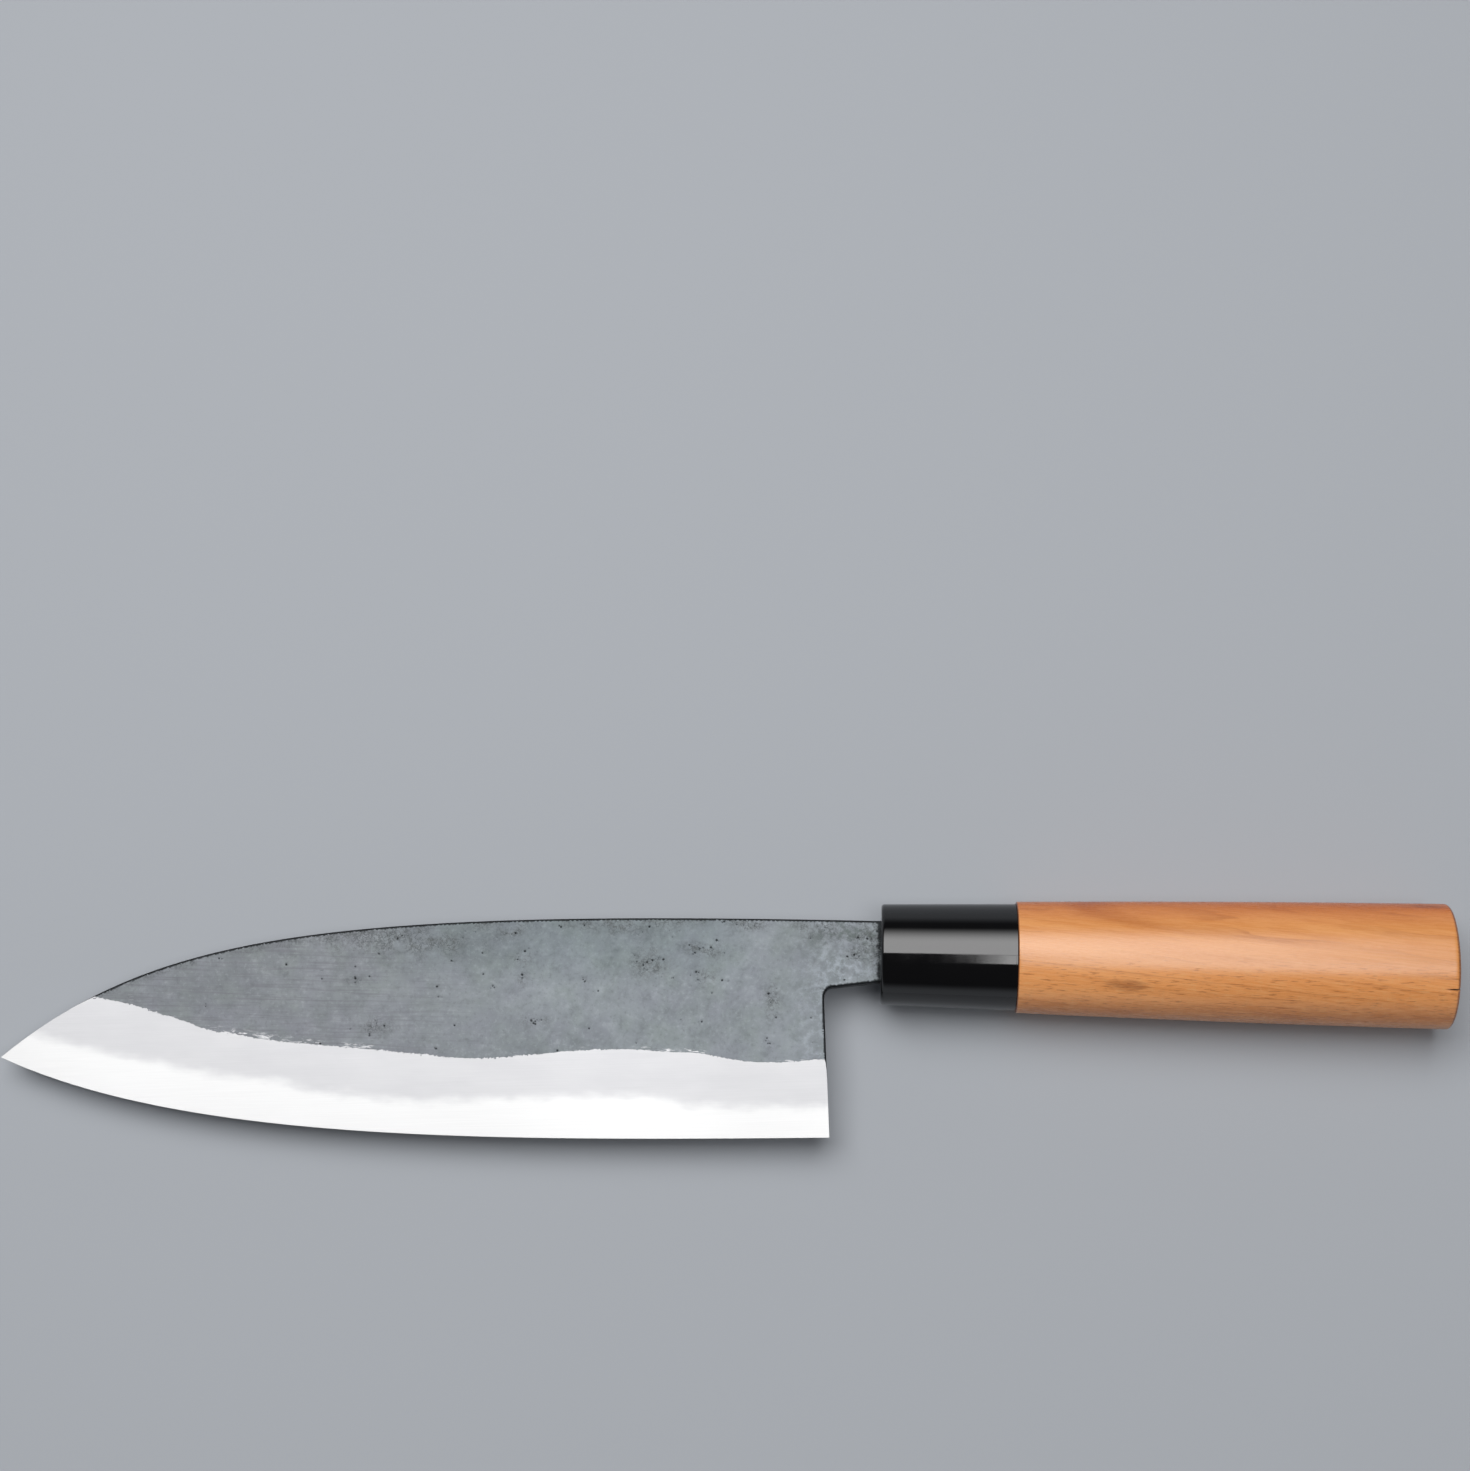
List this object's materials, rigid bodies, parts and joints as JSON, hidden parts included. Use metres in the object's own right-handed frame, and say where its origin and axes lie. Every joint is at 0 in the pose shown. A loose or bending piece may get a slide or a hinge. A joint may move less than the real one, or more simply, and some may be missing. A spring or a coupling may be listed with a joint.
{
  "type": "santoku knife",
  "caption": "Kitchen knife with a laminated forged blade, dark flats above a ground bevel, a gently curved edge and a pointed tip, on a black ferrule and an oval wooden handle.",
  "frame": {"origin": "centre of the handle's butt face, on the handle's axis", "axes": "+X out of the butt along the handle's axis, so the tip is at -X; +Y towards the spine, so the cutting edge is at -Y; +Z square to the blade, out of its left side"},
  "size_m": [0.3005, 0.0524, 0.0218],
  "materials": {
    "hard_steel": "bright ground steel with fine scratches along the edge",
    "forged_iron": "grey-black forge scale on the flats, bright satin where the bevel is ground",
    "black_resin": "polished black",
    "wood": "satin oiled, fine straight grain",
    "bedding_resin": "dark cast resin"
  },
  "bodies": {
    "root": {"blade_core": "hard_steel", "cladding_left": "forged_iron", "cladding_right": "forged_iron", "ferrule": "black_resin", "handle": "wood", "tang_bedding": "bedding_resin"}
  },
  "joints": []
}
